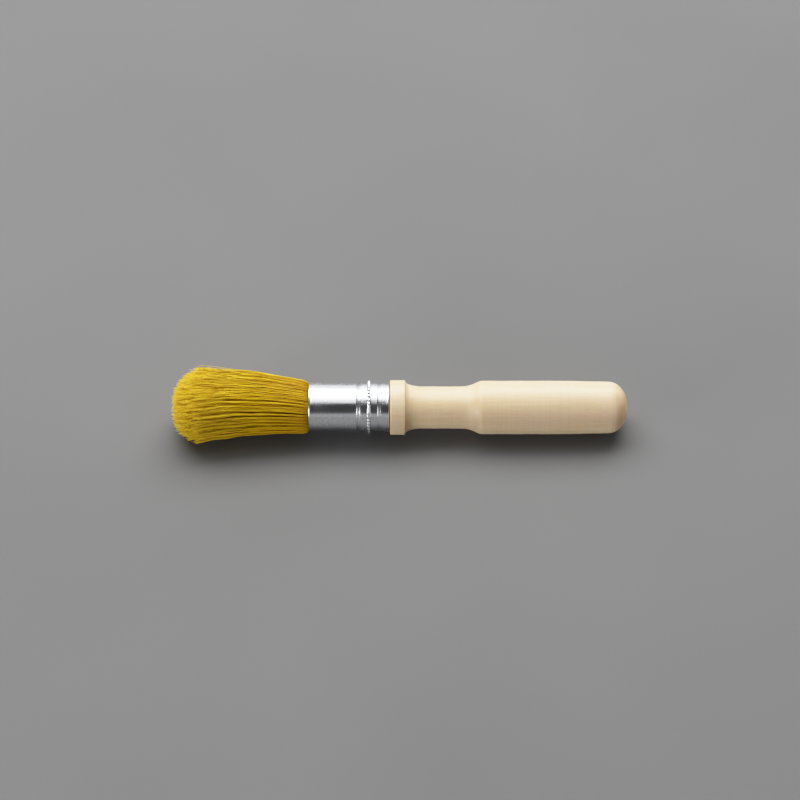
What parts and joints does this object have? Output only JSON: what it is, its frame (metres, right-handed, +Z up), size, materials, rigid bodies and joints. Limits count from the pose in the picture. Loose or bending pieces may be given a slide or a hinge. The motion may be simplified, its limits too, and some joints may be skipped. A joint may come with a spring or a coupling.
{
  "type": "round stencil brush",
  "caption": "Round brush with a full head of stiff yellow bristle, a crimped bright metal ferrule and a turned pale wooden handle, for stencilling, dabbing and cleaning.",
  "frame": {"origin": "on the brush's axis, at the middle of the straight stretch of the grip", "axes": "+X along the brush towards the butt of the handle, so the bristles point to -X; +Z up as the brush lies on a table; +Y is to the side"},
  "size_m": [0.1445, 0.0238, 0.0238],
  "materials": {
    "wood": "pale close-grained hardwood, turned and clear lacquered, satin",
    "ferrule_metal": "bright rolled aluminium with fine lines round it",
    "resin": "set epoxy, glossy",
    "bristle": "dyed natural bristle, satin along each hair"
  },
  "bodies": {
    "brush": {"handle": "wood", "ferrule": "ferrule_metal", "setting_resin": "resin", "bristle_roots": "bristle"},
    "centre": {"centre_lock": "bristle"},
    "inner_1": {"inner_lock_1": "bristle"},
    "inner_2": {"inner_lock_2": "bristle"},
    "inner_3": {"inner_lock_3": "bristle"},
    "inner_4": {"inner_lock_4": "bristle"},
    "inner_5": {"inner_lock_5": "bristle"},
    "inner_6": {"inner_lock_6": "bristle"},
    "outer_1": {"outer_lock_1": "bristle"},
    "outer_2": {"outer_lock_2": "bristle"},
    "outer_3": {"outer_lock_3": "bristle"},
    "outer_4": {"outer_lock_4": "bristle"},
    "outer_5": {"outer_lock_5": "bristle"},
    "outer_6": {"outer_lock_6": "bristle"},
    "outer_7": {"outer_lock_7": "bristle"},
    "outer_8": {"outer_lock_8": "bristle"},
    "outer_9": {"outer_lock_9": "bristle"},
    "outer_10": {"outer_lock_10": "bristle"},
    "outer_11": {"outer_lock_11": "bristle"},
    "outer_12": {"outer_lock_12": "bristle"}
  },
  "joints": [
    {"name": "bend", "type": "hinge", "parent": "brush", "child": "centre", "pos_m": [-0.0682, 0, 0], "axis": [0, 0, 1], "range_deg": [-20, 20], "stiffness_Nm_per_rad": 0.002},
    {"name": "bend_inner_1", "type": "hinge", "parent": "brush", "child": "inner_1", "pos_m": [-0.0682, -0.0026, 0.0015], "axis": [0, 0, 1], "range_deg": [-20, 20], "stiffness_Nm_per_rad": 0.002},
    {"name": "bend_inner_2", "type": "hinge", "parent": "brush", "child": "inner_2", "pos_m": [-0.0682, -0.0026, -0.0015], "axis": [0, 0, 1], "range_deg": [-20, 20], "stiffness_Nm_per_rad": 0.002},
    {"name": "bend_inner_3", "type": "hinge", "parent": "brush", "child": "inner_3", "pos_m": [-0.0682, 0, -0.003], "axis": [0, 0, 1], "range_deg": [-20, 20], "stiffness_Nm_per_rad": 0.002},
    {"name": "bend_inner_4", "type": "hinge", "parent": "brush", "child": "inner_4", "pos_m": [-0.0682, 0.0026, -0.0015], "axis": [0, 0, 1], "range_deg": [-20, 20], "stiffness_Nm_per_rad": 0.002},
    {"name": "bend_inner_5", "type": "hinge", "parent": "brush", "child": "inner_5", "pos_m": [-0.0682, 0.0026, 0.0015], "axis": [0, 0, 1], "range_deg": [-20, 20], "stiffness_Nm_per_rad": 0.002},
    {"name": "bend_inner_6", "type": "hinge", "parent": "brush", "child": "inner_6", "pos_m": [-0.0682, 0, 0.003], "axis": [0, 0, 1], "range_deg": [-20, 20], "stiffness_Nm_per_rad": 0.002},
    {"name": "bend_outer_1", "type": "hinge", "parent": "brush", "child": "outer_1", "pos_m": [-0.0682, -0.00156, 0.00581], "axis": [0, 0, 1], "range_deg": [-20, 20], "stiffness_Nm_per_rad": 0.002},
    {"name": "bend_outer_2", "type": "hinge", "parent": "brush", "child": "outer_2", "pos_m": [-0.0682, -0.00425, 0.00425], "axis": [0, 0, 1], "range_deg": [-20, 20], "stiffness_Nm_per_rad": 0.002},
    {"name": "bend_outer_3", "type": "hinge", "parent": "brush", "child": "outer_3", "pos_m": [-0.0682, -0.00581, 0.00156], "axis": [0, 0, 1], "range_deg": [-20, 20], "stiffness_Nm_per_rad": 0.002},
    {"name": "bend_outer_4", "type": "hinge", "parent": "brush", "child": "outer_4", "pos_m": [-0.0682, -0.00581, -0.00156], "axis": [0, 0, 1], "range_deg": [-20, 20], "stiffness_Nm_per_rad": 0.002},
    {"name": "bend_outer_5", "type": "hinge", "parent": "brush", "child": "outer_5", "pos_m": [-0.0682, -0.00425, -0.00425], "axis": [0, 0, 1], "range_deg": [-20, 20], "stiffness_Nm_per_rad": 0.002},
    {"name": "bend_outer_6", "type": "hinge", "parent": "brush", "child": "outer_6", "pos_m": [-0.0682, -0.00156, -0.00581], "axis": [0, 0, 1], "range_deg": [-20, 20], "stiffness_Nm_per_rad": 0.002},
    {"name": "bend_outer_7", "type": "hinge", "parent": "brush", "child": "outer_7", "pos_m": [-0.0682, 0.00156, -0.00581], "axis": [0, 0, 1], "range_deg": [-20, 20], "stiffness_Nm_per_rad": 0.002},
    {"name": "bend_outer_8", "type": "hinge", "parent": "brush", "child": "outer_8", "pos_m": [-0.0682, 0.00425, -0.00425], "axis": [0, 0, 1], "range_deg": [-20, 20], "stiffness_Nm_per_rad": 0.002},
    {"name": "bend_outer_9", "type": "hinge", "parent": "brush", "child": "outer_9", "pos_m": [-0.0682, 0.00581, -0.00156], "axis": [0, 0, 1], "range_deg": [-20, 20], "stiffness_Nm_per_rad": 0.002},
    {"name": "bend_outer_10", "type": "hinge", "parent": "brush", "child": "outer_10", "pos_m": [-0.0682, 0.00581, 0.00156], "axis": [0, 0, 1], "range_deg": [-20, 20], "stiffness_Nm_per_rad": 0.002},
    {"name": "bend_outer_11", "type": "hinge", "parent": "brush", "child": "outer_11", "pos_m": [-0.0682, 0.00425, 0.00425], "axis": [0, 0, 1], "range_deg": [-20, 20], "stiffness_Nm_per_rad": 0.002},
    {"name": "bend_outer_12", "type": "hinge", "parent": "brush", "child": "outer_12", "pos_m": [-0.0682, 0.00156, 0.00581], "axis": [0, 0, 1], "range_deg": [-20, 20], "stiffness_Nm_per_rad": 0.002}
  ],
  "couplings": [
    {"joint": "bend_inner_1", "follows": "bend", "ratio": 1},
    {"joint": "bend_inner_2", "follows": "bend", "ratio": 1},
    {"joint": "bend_inner_3", "follows": "bend", "ratio": 1},
    {"joint": "bend_inner_4", "follows": "bend", "ratio": 1},
    {"joint": "bend_inner_5", "follows": "bend", "ratio": 1},
    {"joint": "bend_inner_6", "follows": "bend", "ratio": 1},
    {"joint": "bend_outer_1", "follows": "bend", "ratio": 1},
    {"joint": "bend_outer_2", "follows": "bend", "ratio": 1},
    {"joint": "bend_outer_3", "follows": "bend", "ratio": 1},
    {"joint": "bend_outer_4", "follows": "bend", "ratio": 1},
    {"joint": "bend_outer_5", "follows": "bend", "ratio": 1},
    {"joint": "bend_outer_6", "follows": "bend", "ratio": 1},
    {"joint": "bend_outer_7", "follows": "bend", "ratio": 1},
    {"joint": "bend_outer_8", "follows": "bend", "ratio": 1},
    {"joint": "bend_outer_9", "follows": "bend", "ratio": 1},
    {"joint": "bend_outer_10", "follows": "bend", "ratio": 1},
    {"joint": "bend_outer_11", "follows": "bend", "ratio": 1},
    {"joint": "bend_outer_12", "follows": "bend", "ratio": 1}
  ]
}
